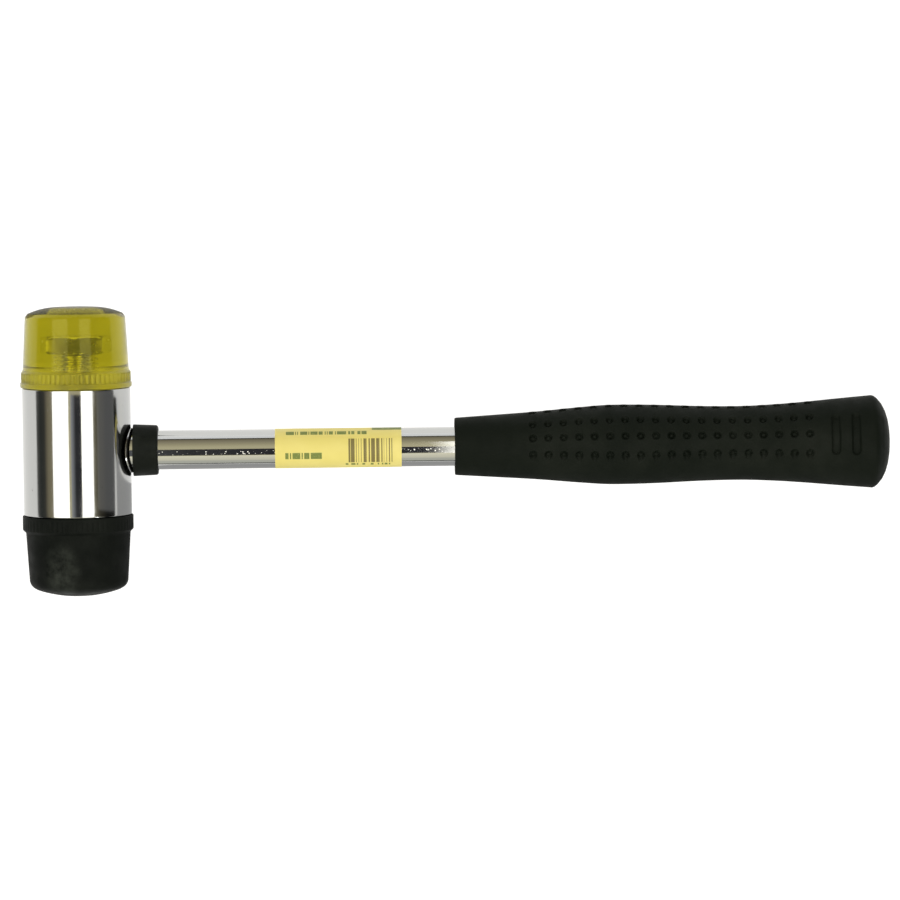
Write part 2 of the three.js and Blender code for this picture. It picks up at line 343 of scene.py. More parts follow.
def chrome(name, along, wave, tone, clear, hazy, glint_strip=False):
    """Plated steel: drawing lines along an axis, a slow waviness, scratches and pits, or, instead of the
    pits, a strip of pale ones that are painted glints.
    """
    material, shader = new_material(name)
    n = Nodes(material)
    stretch = [1.0, 1.0, 1.0]
    stretch["XYZ".index(along)] = 0.06
    lines = n.noise(900, 3, 0.6, n.scaled(*stretch))
    slow = n.noise(60, 1, 0.4, n.scaled(*stretch))
    # Scattered pits are darker than the chrome; the strip's specks are paler, a painted glint in the dark
    # reflected line.
    marks = glint_specks(n) if glint_strip else pits(n)
    pit_or_glint_tone = GLINT_SPECK_TONE if glint_strip else PIT_TONE
    colour = n.mix(marks, (tone, tone * 1.01, tone, 1), (pit_or_glint_tone, pit_or_glint_tone, pit_or_glint_tone * 0.95, 1))
    n.feed(shader.inputs["Base Color"], colour)
    haze = n.span(n.noise(70, 3), 0.35, 0.75, clear, hazy)
    n.feed(shader.inputs["Roughness"], n.math("MAXIMUM", haze, n.math("MULTIPLY", marks, 0.5)))
    shader.inputs["Metallic"].default_value = 1.0
    across = n.add("ShaderNodeMapping")
    across.inputs["Rotation"].default_value = (0.4, 0.5, 0.6)
    across.inputs["Scale"].default_value = (1.0, 0.03, 1.0)
    n.link(n.place, across.inputs["Vector"])
    scratches = n.span(n.noise(700, 1, 0.5, across.outputs[0]), 0.70, 0.74)
    cuts = n.math("MAXIMUM", marks, n.math("MULTIPLY", scratches, 0.6))
    first = n.bump(shader, slow, 1.0, wave)
    second = n.bump(shader, lines, 0.35, 0.00001, first)
    n.bump(shader, cuts, -0.6, 0.00003, second)
    return material


def turned_steel(name, colour, along=None, low=0.22, high=0.42):
    """Bare or zinc-plated steel with fine tool marks."""
    material, shader = new_material(name)
    n = Nodes(material)
    stretch = [1.0, 1.0, 1.0]
    if along:
        stretch["XYZ".index(along)] = 12.0
    marks = n.noise(500, 3, 0.6, n.scaled(*stretch))
    dark = tuple(c * 0.72 for c in colour)
    n.feed(shader.inputs["Base Color"], n.mix(n.noise(160, 4), (*colour, 1), (*dark, 1)))
    n.feed(shader.inputs["Roughness"], n.span(marks, 0.3, 0.7, low, high))
    shader.inputs["Metallic"].default_value = 1.0
    n.bump(shader, marks, 0.3, 0.00003)
    return material


def clear_yellow():
    """Solid yellow plastic that takes most of the blue out of the light, duller in its ring and with a paler
    tint there, which is painted highlight for the light its ridges catch.
    """
    material, shader = new_material("clear_yellow_plastic")
    n = Nodes(material)
    shader.inputs["Transmission Weight"].default_value = 0.95
    shader.inputs["IOR"].default_value = 1.49
    shader.inputs["Specular Tint"].default_value = (0.6, 0.57, 0.2, 1)
    polish = n.span(n.noise(90, 4), 0.35, 0.75, 0.03, 0.14)
    ring = n.span(n.axes()[1], (FACE_SEAT + 5.2) * MM, (FACE_SEAT + 7.5) * MM, 1.0, 0.0)
    # Paler tint in the ring: painted highlight. The ring's extra roughness is its own.
    n.feed(shader.inputs["Base Color"], n.mix(ring, (0.68, 0.65, 0.09, 1), (0.98, 0.94, 0.26, 1)))
    n.feed(shader.inputs["Roughness"], n.math("MAXIMUM", polish, n.math("MULTIPLY", ring, 0.34)))
    n.bump(shader, n.noise(120, 2), 0.15, 0.0002)
    absorb = n.add("ShaderNodeVolumeAbsorption")
    absorb.inputs["Color"].default_value = (0.78, 0.75, 0.03, 1)
    absorb.inputs["Density"].default_value = 112.0
    output = next(node for node in n.tree.nodes if node.type == "OUTPUT_MATERIAL")
    n.link(absorb.outputs[0], output.inputs["Volume"])
    return material


SMEAR_COLOUR = (0.028, 0.032, 0.028, 1)


def rubber(name, colour, dust, smear=None, roughness=0.6):
    """Moulded rubber: fine grain, faint pale patches and, if a place is given, one dusty smear."""
    material, shader = new_material(name)
    n = Nodes(material)
    grain = n.noise(3800, 2, 0.7)
    patches = n.span(n.noise(55, 5, 0.6), 0.42, 0.78)
    base = n.mix(patches, (*colour, 1), (*dust, 1))
    if smear:
        x, y, _ = n.axes()
        parts = []
        for value, middle, reach in ((x, smear[0], 6), (y, smear[1], 9)):
            far = n.math("DIVIDE", n.math("SUBTRACT", value, middle * MM), reach * MM)
            parts.append(n.math("POWER", far, 2))
        near = n.math("ADD", *parts)
        cloud = n.math("MULTIPLY", n.span(near, 0.1, 1.3, 0.8, 0), n.span(n.noise(260, 5, 0.65), 0.35, 0.65))
        base = n.mix(cloud, base, SMEAR_COLOUR)
    n.feed(shader.inputs["Base Color"], base)
    n.feed(shader.inputs["Roughness"], n.span(n.noise(240, 4), 0.3, 0.7, roughness - 0.08, roughness + 0.1))
    shader.inputs["Specular IOR Level"].default_value = 0.06
    n.bump(shader, grain, 0.35, 0.00006)
    return material


def moulded_plastic(name, colour, roughness):
    """Dull plastic with faint paler patches and a fine grain."""
    material, shader = new_material(name)
    n = Nodes(material)
    pale = tuple(c * 1.5 + 0.002 for c in colour)
    n.feed(shader.inputs["Base Color"], n.mix(n.span(n.noise(180, 4), 0.45, 0.8), (*colour, 1), (*pale, 1)))
    n.feed(shader.inputs["Roughness"], n.span(n.noise(420, 3), 0.3, 0.7, roughness - 0.06, roughness + 0.08))
    shader.inputs["Specular IOR Level"].default_value = 0.05
    n.bump(shader, n.noise(2600, 2), 0.3, 0.00004)
    return material


LABEL_INK = (0.09, 0.14, 0.02, 1)
LABEL_BARS = (0.07, 0.05, 0.012, 1)
LABEL_BASE = (0.62, 0.535, 0.15, 1)
LABEL_PALE = (0.66, 0.575, 0.19, 1)
BAR_PITCH = 0.82
# Areas of print: from and to along X, then from and to round the tube, in millimetres.
TITLE_AREA = (67.2, 94.0, 5.1, 6.7)
SIZE_AREA = (67.4, 79.2, -3.3, -1.1)
DIGITS_AREA = (86.8, 102.3, -6.3, -5.3)
LAP_AREA = (95.4, LABEL_END, 7.3, 10.3)
BARS_AREA = (87.8, 102.0, -4.9, 3.5)


def printed_paper():
    """Yellow paper with rows of dashes, a strip along its lap and a block of bars, none of them lettering."""
    material, shader = new_material("label_paper")
    n = Nodes(material)
    x, y, z = n.axes()
    around = n.math("MULTIPLY", n.math("ARCTAN2", y, z), (TUBE_RADIUS + 0.1) * MM)

    def box(left, right, low, high):
        inside = n.math("GREATER_THAN", x, left * MM)
        for operation, value, edge in (("LESS_THAN", x, right), ("GREATER_THAN", around, low),
                                       ("LESS_THAN", around, high)):
            inside = n.math("MULTIPLY", inside, n.math(operation, value, edge * MM))
        return inside

    def cells(pitch, share):
        """Strips along X, each as wide as pitch, of which a share is inked."""
        strip = n.math("FLOOR", n.math("DIVIDE", x, pitch * MM))
        cell = n.add("ShaderNodeTexWhiteNoise", noise_dimensions="1D")
        n.link(strip, cell.inputs["W"])
        return n.math("LESS_THAN", cell.outputs["Value"], share)

    ink = n.math("MULTIPLY", box(*TITLE_AREA), cells(0.33, 0.72))
    for area, pitch, share in ((SIZE_AREA, 0.42, 0.7), (DIGITS_AREA, 0.45, 0.5), (LAP_AREA, 50, 1)):
        ink = n.math("MAXIMUM", ink, n.math("MULTIPLY", box(*area), cells(pitch, share)))
    place = n.math("DIVIDE", x, BAR_PITCH * MM)
    strip = n.math("FLOOR", place)
    width = n.add("ShaderNodeTexWhiteNoise", noise_dimensions="1D")
    n.link(strip, width.inputs["W"])
    wide = n.span(width.outputs["Value"], 0, 1, 0.1, 1.1)
    within = n.math("LESS_THAN", n.math("SUBTRACT", place, strip), wide)
    bars = n.math("MULTIPLY", box(*BARS_AREA), within)
    fibre = n.noise(1500, 4, 0.7)
    paper = n.mix(n.span(n.noise(80, 4), 0.35, 0.75), LABEL_BASE, LABEL_PALE)
    worn = n.math("MULTIPLY", ink, n.span(fibre, 0.2, 0.45, 0.55, 0.92))
    barred = n.mix(n.math("MULTIPLY", bars, 0.85), paper, LABEL_BARS)
    n.feed(shader.inputs["Base Color"], n.mix(worn, barred, LABEL_INK))
    n.feed(shader.inputs["Roughness"], n.span(fibre, 0.3, 0.7, 0.5, 0.62))
    n.bump(shader, fibre, 0.25, 0.00003)
    return material


HEAD_CHROME = chrome("head_chrome", "Y", 0.00012, 0.40, 0.07, 0.15)
# The handle's chrome carries the strip of painted glints.
HANDLE_CHROME = chrome("handle_chrome", "X", 0.00006, 0.46, 0.04, 0.1, glint_strip=True)
WELD_CHROME = chrome("weld_chrome", "X", 0.0002, 0.4, 0.1, 0.2)
PLUG_STEEL = turned_steel("plug_steel", (0.50, 0.50, 0.49), "Y")
BOLT_STEEL = turned_steel("bolt_steel", (0.92, 0.91, 0.84), None, 0.20, 0.28)
WASHER_STEEL = turned_steel("washer_steel", (0.56, 0.56, 0.54))
SHOT_STEEL = turned_steel("shot_steel", (0.45, 0.45, 0.45))
YELLOW = clear_yellow()
FACE_RUBBER = rubber("face_rubber", (0.0027, 0.0037, 0.0030), (0.0075, 0.009, 0.0075), (-4.5, -38))
GRIP_RUBBER = rubber("grip_rubber", (0.0042, 0.006, 0.0042), (0.0085, 0.0105, 0.008))
COLLAR_PLASTIC = moulded_plastic("collar_plastic", (0.006, 0.0073, 0.0062), 0.5)
GREY_PLASTIC = moulded_plastic("plug_plastic", (0.16, 0.16, 0.16), 0.5)
PAPER = printed_paper()


# Head


def head_housing():
    end = HEAD_HALF_LENGTH
    corners = [(HEAD_BORE, -end), (HEAD_RADIUS, -end), (HEAD_RADIUS, end), (HEAD_BORE, end)]
    outline = rounded(corners + [corners[0]], [0, 0.5, 0.5, 0, 0])
    vertices, faces = turned(spread(outline, 3), 160)
    add_piece("visual_head_housing", vertices, faces, "body", ["head_housing"], HEAD_CHROME)


def screw_radius(angle, along, clearance=0.0):
    """Radius of a right-hand screw about Y, with flats on its crests and roots."""
    turn = (along / THREAD_PITCH - angle / TAU) % 1.0
    climb = min(1.0, max(0.0, (min(turn, 1.0 - turn) - 0.06) / 0.36))
    return THREAD_ROOT + clearance + (THREAD_RADIUS - THREAD_ROOT) * climb


def end_plug(node, flip):
    bore = THREAD_RADIUS + THREAD_FIT
    bottom = BOLT_TIP - BOLT_ROOM_BELOW
    wall = [(bore, bottom + (PLUG_TOP - bottom) * i / 72) for i in range(73)]
    outline = [(0, PLUG_BOTTOM), (PLUG_RADIUS - 0.4, PLUG_BOTTOM), (PLUG_RADIUS, PLUG_BOTTOM + 0.4)]
    outline += [(PLUG_RADIUS, PLUG_TOP - 0.4), (PLUG_RADIUS - 0.4, PLUG_TOP), (bore + 0.3, PLUG_TOP)]
    outline += list(reversed(wall)) + [(0, bottom)]
    first = len(outline) - len(wall) - 1

    def thread(radius, along, angle, index):
        if first <= index < first + len(wall):
            mouth = max(0.0, 1 - (PLUG_TOP - along) / 0.8)
            return max(screw_radius(angle, along, THREAD_FIT), bore * mouth), along
        return radius, along

    vertices, faces = turned(outline, 72, shape=thread)
    add_piece(f"visual_{node}", vertices, faces, "body", [node], PLUG_STEEL, flip)


def bolt(node, body, flip):
    """Hexagon bolt: thread, under-head face, six flats and a chamfered top."""
    rows = 160
    shank = [(THREAD_RADIUS, BOLT_TIP + (BOLT_HEAD_LOW - BOLT_TIP) * i / rows) for i in range(rows + 1)]
    corner = BOLT_FLAT / math.cos(math.pi / 6)
    side = [(corner, BOLT_HEAD_LOW + (BOLT_HEAD_TOP - BOLT_HEAD_LOW) * i / 16) for i in range(17)]
    outline = [(0, BOLT_TIP), (THREAD_ROOT - 0.3, BOLT_TIP)] + shank + side + [(0, BOLT_HEAD_TOP)]

    def form(radius, along, angle, index):
        if 2 <= index < 2 + len(shank):
            cone = THREAD_ROOT - 0.2 + (along - BOLT_TIP)
            return min(screw_radius(angle, along), cone), along
        if index >= 2 + len(shank) and radius > 0:
            flat = BOLT_FLAT / math.cos(angle % (math.pi / 3) - math.pi / 6)
            top = BOLT_FLAT - 0.25 + (BOLT_HEAD_TOP - along) * math.sqrt(3)
            low = BOLT_FLAT + 0.2 + (along - BOLT_HEAD_LOW) * math.sqrt(3)
            return min(flat, top, low), along
        return radius, along

    vertices, faces = turned(outline, 96, shape=form)
    add_piece(f"visual_{node}", vertices, faces, body, [node], BOLT_STEEL, flip, 25)


def washer(node, body, flip):
    """Split washer: a nearly closed ring whose two ends stand a little apart."""
    count = 96
    gap = WASHER_SPLIT / WASHER_RADIUS
    section = [(WASHER_BORE, WASHER_LOW), (WASHER_RADIUS, WASHER_LOW)]
    section += [(WASHER_RADIUS, WASHER_HIGH), (WASHER_BORE, WASHER_HIGH)]
    vertices, faces = [], []
    for i in range(count + 1):
        angle = gap / 2 + (TAU - gap) * i / count
        for radius, along in section:
            vertices.append((radius * math.sin(angle), along, radius * math.cos(angle)))
    size = len(section)
    for i in range(count):
        for k in range(size):
            a, b = i * size + k, i * size + (k + 1) % size
            faces.append((a, b, b + size, a + size))
    faces.append(tuple(range(size)))
    faces.append(tuple(reversed(range(count * size, count * size + size))))
    piece = add_piece(f"visual_{node}", vertices, faces, body, [node], WASHER_STEEL, flip)
    soften(piece, 0.15)


def soften(piece, width):
    """Rounds the sharp edges of a piece."""
    bevel = piece.modifiers.new("edge", "BEVEL")
    bevel.width = width * MM
    bevel.segments = 2
    bevel.limit_method = "ANGLE"
    bevel.angle_limit = math.radians(50)


def ridge_shape(low, high, depth, drift=0.0):
    """Upright ridges round a face's ring, between two heights above the seat."""

    def form(radius, along, angle, index):
        height = along - FACE_SEAT
        fade = ease((height - low) / 0.5) * ease((high - height) / 0.5)
        if radius < RING_RADIUS - 1.2 or fade == 0:
            return radius, along
        wave = 0.5 + 0.5 * math.cos(RIDGES * angle)
        groove = 1 - ease(wave * 1.6)
        weak = 1 - drift * (0.5 + 0.5 * math.sin(3 * angle + 1.3))
        return radius - depth * groove * fade * weak, along

    return form


def plastic_face():
    """Ribbed ring, a step, a slightly tapering barrel and a low crown with a flat middle."""
    top = FACE_SEAT + FACE_HEIGHT
    seat = FACE_SEAT
    ring = RING_RADIUS
    low = rounded(
        [(0, seat), (ring - 0.02, seat), (ring - 0.02, seat + 1.5), (ring - 0.3, seat + 1.7),
         (ring - 0.32, seat + 4.8), (ring - 0.85, seat + 5.6), (ring - 1.75, top - 3.1)],
        [0, 0.35, 0.2, 0.1, 0.8, 0.8, 0])
    crown = [(16.0, top - 2.75)]
    crown += [(6.2 + 9.4 * t, top - 2.05 * t * t) for t in (0.97, 0.85, 0.7, 0.55, 0.4, 0.28, 0.16, 0.07, 0)]
    outline = spread(low + crown + [(0, top)], 0.5)
    vertices, faces = turned(outline, RIDGES * 8, shape=ridge_shape(1.6, 4.9, 0.42))
    add_piece("visual_plastic_face", vertices, faces, "plastic_face", ["plastic_face"], YELLOW,
              sharp=60)


def rubber_face():
    """The other face: a fainter ribbed ring and a rounder crown with a flat middle."""
    top = FACE_SEAT + FACE_HEIGHT
    seat = FACE_SEAT
    ring = RING_RADIUS
    low = rounded(
        [(0, seat), (ring - 0.1, seat), (ring - 0.1, seat + 4.5), (ring - 1.1, seat + 5.5),
         (ring - 2.05, top - 4.6)],
        [0, 0.3, 0.4, 0.5, 0])
    dome = [(15.75, top - 3.9), (15.4, top - 3.2), (14.7, top - 2.5), (13.6, top - 1.85), (12, top - 1.3)]
    dome += [(10, top - 0.75), (8, top - 0.32), (6.2, top), (0, top)]
    outline = spread(low + dome, 0.5)
    vertices, faces = turned(outline, RIDGES * 8, shape=ridge_shape(0.8, 4.6, 0.2, 0.75))
    add_piece("visual_rubber_face", vertices, faces, "rubber_face", ["rubber_face"], FACE_RUBBER,
              FAR_END, 60)


BALL_RADIUS = 2.98


def shot():
    """Steel balls at the middles of the CAD's balls."""
    for node in sorted(frame["nodes"]):
        if not node.startswith("shot_ball"):
            continue
        low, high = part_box(node)
        middle = LAID.inverted() @ ((Vector(low) + Vector(high)) / 2)
        work = bmesh.new()
        bmesh.ops.create_icosphere(work, subdivisions=3, radius=BALL_RADIUS)
        vertices = [tuple(v.co * (1 + 0.004 * noise.noise(v.co + middle)) + middle / MM) for v in work.verts]
        faces = [tuple(v.index for v in f.verts) for f in work.faces]
        work.free()
        add_piece(f"visual_{node}", vertices, faces, "shot_charge", [node], SHOT_STEEL)


# Handle


def handle_tube():
    """The tube's near end is cut to sit on the round head."""
    start = 16.0
    outline = [(TUBE_BORE, start), (TUBE_RADIUS, start)]
    outline += [(TUBE_RADIUS, start + (TUBE_END - start) * i / 60) for i in range(1, 61)]
    outline += [(TUBE_BORE, TUBE_END), (TUBE_BORE, start)]

    def saddle(radius, along, angle, index):
        if along == start:
            up = radius * math.cos(angle)
            return radius, math.sqrt((HEAD_RADIUS + 0.3) ** 2 - up * up)
        return radius, along

    vertices, faces = turned(outline, 128, "X", saddle)
    add_piece("visual_handle_tube", vertices, faces, "body", ["handle_tube"], HANDLE_CHROME)


def handle_weld():
    """A rippled bead in the corner between the head and the tube."""
    inner = TUBE_RADIUS + 0.05
    section = [(0.02, 0.0), (1.0, 0.0), (0.85, 0.35), (0.55, 0.7), (0.2, 0.95), (0.02, 1.0)]
    outline = [(inner + out, up) for out, up in section] + [(inner + section[0][0], section[0][1])]

    def bead(radius, rise, angle, index):
        ripple = 0.06 * math.sin(46 * angle) * (1 if rise > 0 else 0)
        up = radius * math.cos(angle)
        foot = math.sqrt((HEAD_RADIUS + 0.02) ** 2 - up * up)
        return radius, foot + rise * (0.9 + ripple)

    vertices, faces = turned(outline, 192, "X", bead)
    add_piece("visual_handle_weld", vertices, faces, "body", ["handle_weld"], WELD_CHROME)


def handle_collar():
    start, end = COLLAR_START, COLLAR_END
    outline = rounded(
        [(COLLAR_SKIRT_BORE, start), (COLLAR_RADIUS, start), (COLLAR_END_RADIUS, end), (COLLAR_BORE, end),
         (COLLAR_BORE, start + 1.5), (COLLAR_SKIRT_BORE, start + 1.5), (COLLAR_SKIRT_BORE, start)],
        [0, 0.25, 0.8, 0.3, 0, 0, 0])
    vertices, faces = turned(spread(outline, 0.8), 128, "X")
    add_piece("visual_handle_collar", vertices, faces, "body", ["handle_collar"], COLLAR_PLASTIC)


def size_label():
    """A strip of paper wrapped once round the tube, its end lapping its start."""
    thickness, lap_angle, start_angle = 0.07, 0.35, 0.95
    count, length = 150, 24
    vertices, faces = [], []
    for i in range(count + 1):
        wrap = (TAU + lap_angle) * i / count
        angle = start_angle - wrap
        lift = 0.08 * ease((wrap - (TAU - 0.25)) / 0.25)
        for k in range(length + 1):
            x = LABEL_START + (LABEL_END - LABEL_START) * k / length
            edge = 0.015 * noise.noise(Vector((x * 0.4, wrap * 2, 3)))
            inner = TUBE_RADIUS + 0.01 + lift + edge
            for radius in (inner, inner + thickness):
                vertices.append((x, radius * math.sin(angle), radius * math.cos(angle)))
    row = 2 * (length + 1)
    for i in range(count):
        for k in range(length):
            a = i * row + 2 * k
            faces.append((a, a + 2, a + 2 + row, a + row))
            faces.append((a + 1, a + row + 1, a + row + 3, a + 3))
        for a, flip in ((i * row, False), (i * row + 2 * length, True)):
            quad = (a, a + 1, a + 1 + row, a + row)
            faces.append(tuple(reversed(quad)) if flip else quad)
    for start in (0, count * row):
        for k in range(length):
            a = start + 2 * k
            faces.append((a, a + 1, a + 3, a + 2))
    add_piece("visual_size_label", vertices, faces, "body", ["size_label"], PAPER)


def tube_end_plug():
    stem, brim = TUBE_BORE - 0.1, TUBE_END + 0.1
    outline = rounded(
        [(0, TUBE_END - 12), (stem, TUBE_END - 12), (stem, brim), (TUBE_RADIUS, brim),
         (TUBE_RADIUS, brim + 0.8), (0, brim + 0.8)],
        [0, 0.8, 0, 0, 0.3, 0])
    vertices, faces = turned(outline, 64, "X")
    add_piece("visual_tube_end_plug", vertices, faces, "body", ["tube_end_plug"], GREY_PLASTIC)


# Grip

DIMPLE_PITCH = 4.96
DIMPLE_FIRST = 147.3
DIMPLE_COLUMNS = 19
DIMPLE_RADIUS = 1.3
DIMPLE_DEPTH = 0.95
SLOT_DEPTH = 1.0
SLOT_HALF_WIDTH = 1.55
SLOT_PLACES = (245.0, 251.5)
# Panels of the pattern: angles of the three rows in degrees from straight up towards the plastic face,
# and whether two slots end the panel.
PANELS = (
    ((-12.5, 16.0, 41.0), True),
    ((77.4, 105.3, 130.3), False),
    ((167.4, 195.3, 220.3), True),
)

# Stretches round the grip, in radians, where the mesh is fine enough for the panels.
PATTERN_ARCS = [(0, 0.93), (1.2, 2.42), (2.78, 4.0), (5.9, TAU)]


def grip_side():
    """Half-width of the grip at a distance from its start, through a few stations."""
    stations = [(0, 9.3), (13.5, 10.15), (26.4, 11.0), (39.4, 12.15), (49, 12.85), (57, 12.9), (66, 12.7),
                (80, 12.15), (93, 12.0), (104, 12.45), (113, 13.1), (123, 14.0),
                (GRIP_BUTT_STATION, GRIP_BUTT_RADIUS)]

    def width(s):
        for i in range(len(stations) - 1):
            if s <= stations[i + 1][0]:
                break
        (x0, y0), (x1, y1) = stations[i], stations[i + 1]
        before = stations[max(0, i - 1)]
        after = stations[min(len(stations) - 1, i + 2)]
        slope0 = (y1 - before[1]) / (x1 - before[0])
        slope1 = (after[1] - y0) / (after[0] - x0)
        t, h = (s - x0) / (x1 - x0), x1 - x0
        return ((2 * t**3 - 3 * t**2 + 1) * y0 + (t**3 - 2 * t**2 + t) * h * slope0
                + (3 * t**2 - 2 * t**3) * y1 + (t**3 - t**2) * h * slope1)

    return width


def graded(fine, coarse, stretches, end):
    """Places from 0 to end, fine apart within the stretches and coarse apart elsewhere."""
    places, here = [], 0.0
    while here < end - coarse / 2:
        places.append(here)
        near = any(low <= here < high for low, high in stretches)
        here += fine if near else coarse
    return places


def dent(x, angle, radius):
    """How deep the pattern is cut at a place on the grip. Each dimple has a low lip and a raised middle."""
    deepest = 0.0
    for rows, slotted in PANELS:
        column = round((x - DIMPLE_FIRST) / DIMPLE_PITCH)
        if 0 <= column < DIMPLE_COLUMNS:
            along = x - (DIMPLE_FIRST + column * DIMPLE_PITCH)
            for row in rows:
                around = (math.radians(row) - angle + math.pi) % TAU - math.pi
                far = math.hypot(along, around * radius)
                if far < DIMPLE_RADIUS:
                    middle = 0.55 * ease((0.85 - far) / 0.5)
                    deepest = max(deepest, DIMPLE_DEPTH * ease((DIMPLE_RADIUS - far) / 0.4) - middle)
                elif far < DIMPLE_RADIUS + 0.5 and deepest == 0.0:
                    deepest = -0.1 * math.sin(math.pi * (far - DIMPLE_RADIUS) / 0.5)
        for place in SLOT_PLACES if slotted else ():
            along = x - place
            if abs(along) < SLOT_HALF_WIDTH:
                middle = math.radians((rows[0] + rows[2]) / 2)
                reach = math.radians(rows[2] - rows[0]) / 2
                around = abs((middle - angle + math.pi) % TAU - math.pi) * radius
                beyond = max(0.0, around - (reach * radius - SLOT_HALF_WIDTH + 0.5))
                far = math.hypot(along, beyond)
                deepest = max(deepest, SLOT_DEPTH * ease((SLOT_HALF_WIDTH - far) / 0.5))
    return deepest


def grip_sleeve():
    width = grip_side()
    end = GRIP_START + GRIP_LENGTH
    first = DIMPLE_FIRST - 4 - GRIP_START
    stations = graded(0.27, 1.1, [(0, 1), (first, SLOT_PLACES[1] + 3 - GRIP_START)], GRIP_BUTT_STATION)
    outline = [(GRIP_START + s, width(s)) for s in stations]
    outline[0] = (GRIP_START, outline[0][1] - 0.25)
    outline[1] = (outline[1][0], outline[1][1] - 0.04)
    corner = [(GRIP_BUTT_STATION, GRIP_BUTT_RADIUS), (136.1, 14.8), (137.0, 14.1), (138.5, 12.3),
              (139.6, 10.1), (140.35, 7.7), (140.8, 5.2), (141.05, 2.6)]
    outline += [(GRIP_START + s, r) for s, r in spread(corner, 0.9)]
    angles = graded(0.0215, 0.09, PATTERN_ARCS, TAU)
    vertices, faces, rows = [], [], []
    for x, radius in outline:
        row = []
        for angle in angles:
            normal = Vector((0, GRIP_FLATNESS * math.sin(angle), math.cos(angle))).normalized()
            point = Vector((x, radius * math.sin(angle), GRIP_FLATNESS * radius * math.cos(angle)))
            row.append(len(vertices))
            vertices.append(tuple(point - normal * dent(x, angle, radius * 0.95)))
        rows.append(row)
    bore = TUBE_RADIUS + 0.04
    for x, radius in ((GRIP_BORE_END, bore), (GRIP_START, bore)):
        row = []
        for angle in angles:
            row.append(len(vertices))
            vertices.append((x, radius * math.sin(angle), radius * math.cos(angle)))
        rows.append(row)
    butt = len(vertices)
    vertices.append((end, 0, 0))
    deep = len(vertices)
    vertices.append((GRIP_BORE_END, 0, 0))
    count = len(angles)
    outside = rows[:-2]
    for low, high in list(zip(outside, outside[1:])) + [(rows[-2], rows[-1]), (rows[-1], rows[0])]:
        for side in range(count):
            after = (side + 1) % count
            faces.append((low[side], low[after], high[after], high[side]))
    for side in range(count):
        after = (side + 1) % count
        faces.append((outside[-1][side], outside[-1][after], butt))
        faces.append((rows[-2][after], rows[-2][side], deep))
    add_piece("visual_grip_sleeve", vertices, faces, "body", ["grip_sleeve"], GRIP_RUBBER,
              sharp=75)


head_housing()
end_plug("plastic_end_plug", None)
end_plug("rubber_end_plug", FAR_END)
bolt("plastic_face_bolt", "plastic_face", None)
bolt("rubber_face_bolt", "rubber_face", FAR_END)
washer("plastic_face_washer", "plastic_washer", None)
washer("rubber_face_washer", "rubber_washer", FAR_END)
plastic_face()
rubber_face()
shot()
handle_tube()
handle_weld()
handle_collar()
size_label()
tube_end_plug()
grip_sleeve()


# Studio

FLOOR_GLOW = 0.95


def floor():
    """A white sheet that glows a little, so that it comes out white close to the mallet too."""
    mesh = bpy.data.meshes.new("floor")
    work = bmesh.new()
    bmesh.ops.create_grid(work, x_segments=8, y_segments=8, size=1.6)
    work.to_mesh(mesh)
    work.free()
    material, shader = new_material("floor_paper")
    n = Nodes(material, laid_down=False)
    n.feed(shader.inputs["Base Color"], n.mix(n.noise(4, 3), (0.24, 0.24, 0.24, 1), (0.27, 0.27, 0.27, 1)))
    shader.inputs["Roughness"].default_value = 0.9
    shader.inputs["Emission Color"].default_value = (1, 1, 1, 1)
    shader.inputs["Emission Strength"].default_value = FLOOR_GLOW
    mesh.materials.append(material)
    sheet = bpy.data.objects.new("floor", mesh)
    sheet.location.z = -0.0002
    bpy.context.scene.collection.objects.link(sheet)


def softbox(name, place, target, size, radiance, colour=(1, 1, 1)):
    """A rectangular lamp, seen only in reflections, whose surface has the given radiance."""
    light = bpy.data.lights.new(name, "AREA")
    light.shape = "RECTANGLE"
    light.size, light.size_y = size
    light.energy = radiance * math.pi * size[0] * size[1]
    light.color = colour
    lamp = bpy.data.objects.new(name, light)
    lamp.location = place
    lamp.rotation_mode = "QUATERNION"
    lamp.rotation_quaternion = (Vector(target) - Vector(place)).to_track_quat("-Z", "Y")
    lamp.visible_camera = False
    bpy.context.scene.collection.objects.link(lamp)


def stand_card(name, mesh, material, place):
    """Puts up a card that only shiny surfaces see."""
    mesh.materials.append(material)
    card = bpy.data.objects.new(name, mesh)
    card.location = place
    card.visible_camera = False
    card.visible_shadow = False
    card.visible_diffuse = False
    bpy.context.scene.collection.objects.link(card)
    return card


def dark_card():
    """A dark board over the mallet, seen only in the chrome, where the camera and its stand would be."""
    work = bmesh.new()
    bmesh.ops.create_grid(work, x_segments=2, y_segments=2, size=0.5)
    mesh = bpy.data.meshes.new("dark_card")
    work.to_mesh(mesh)
    work.free()
    material, shader = new_material("dark_card")
    n = Nodes(material, laid_down=False)
    fade = n.span(n.axes()[0], -0.5, -0.05, 0.55, 0.0)
    shader.inputs["Base Color"].default_value = (0.01, 0.01, 0.015, 1)
    shader.inputs["Roughness"].default_value = 1.0
    shader.inputs["Emission Color"].default_value = (0.92, 0.95, 1.0, 1)
    n.feed(shader.inputs["Emission Strength"], n.math("ADD", fade, 0.02))
    card = stand_card("dark_card", mesh, material, (LAID.translation.x + 0.03, -0.155, 0.6))
    card.scale = (0.225, 0.40, 1)


